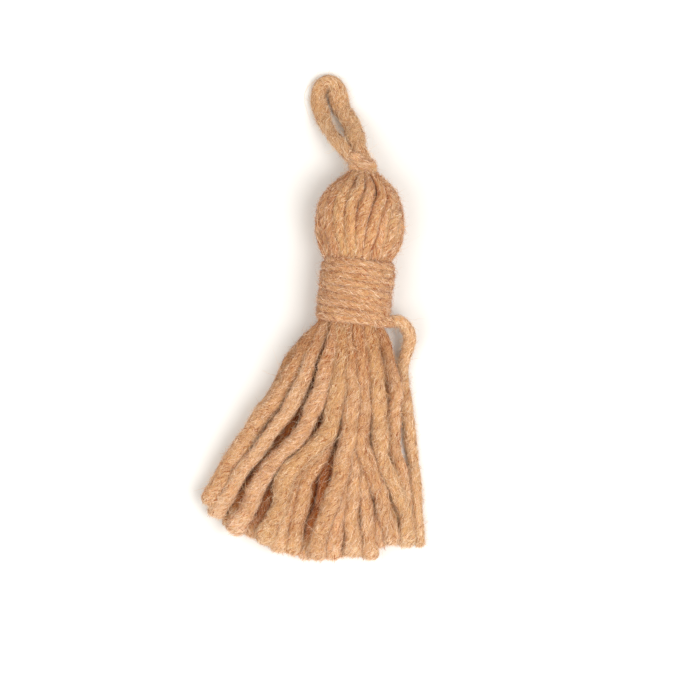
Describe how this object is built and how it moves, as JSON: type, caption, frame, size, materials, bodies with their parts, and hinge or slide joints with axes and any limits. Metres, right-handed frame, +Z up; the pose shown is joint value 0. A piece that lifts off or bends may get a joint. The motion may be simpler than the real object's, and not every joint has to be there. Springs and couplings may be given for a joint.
{
  "type": "wool yarn tassel",
  "caption": "Soft wool yarn tassel lying on its side: knotted hanging loop, rounded head, bound neck with a loose tail of yarn, and a fanned skirt of thick strands.",
  "frame": {"origin": "on the surface that the tassel lies on, under the middle of the tassel without its hanging loop and loose tail", "axes": "+Y from the skirt's hem to the hanging loop, +X to the right seen from above with the loop at the top, +Z up from the surface"},
  "size_m": [0.0596, 0.1309, 0.0209],
  "materials": {
    "bundle_yarn": "camel brown fluffy wool yarn, matt",
    "binding_yarn": "camel brown wool yarn drawn tight, matt",
    "loop_yarn": "camel brown wool yarn, matt"
  },
  "bodies": {
    "root": {"yarn_bundle": "bundle_yarn", "neck_binding": "binding_yarn", "loop_knot": "loop_yarn", "hanging_loop": "loop_yarn", "binding_tail": "binding_yarn"}
  },
  "joints": []
}
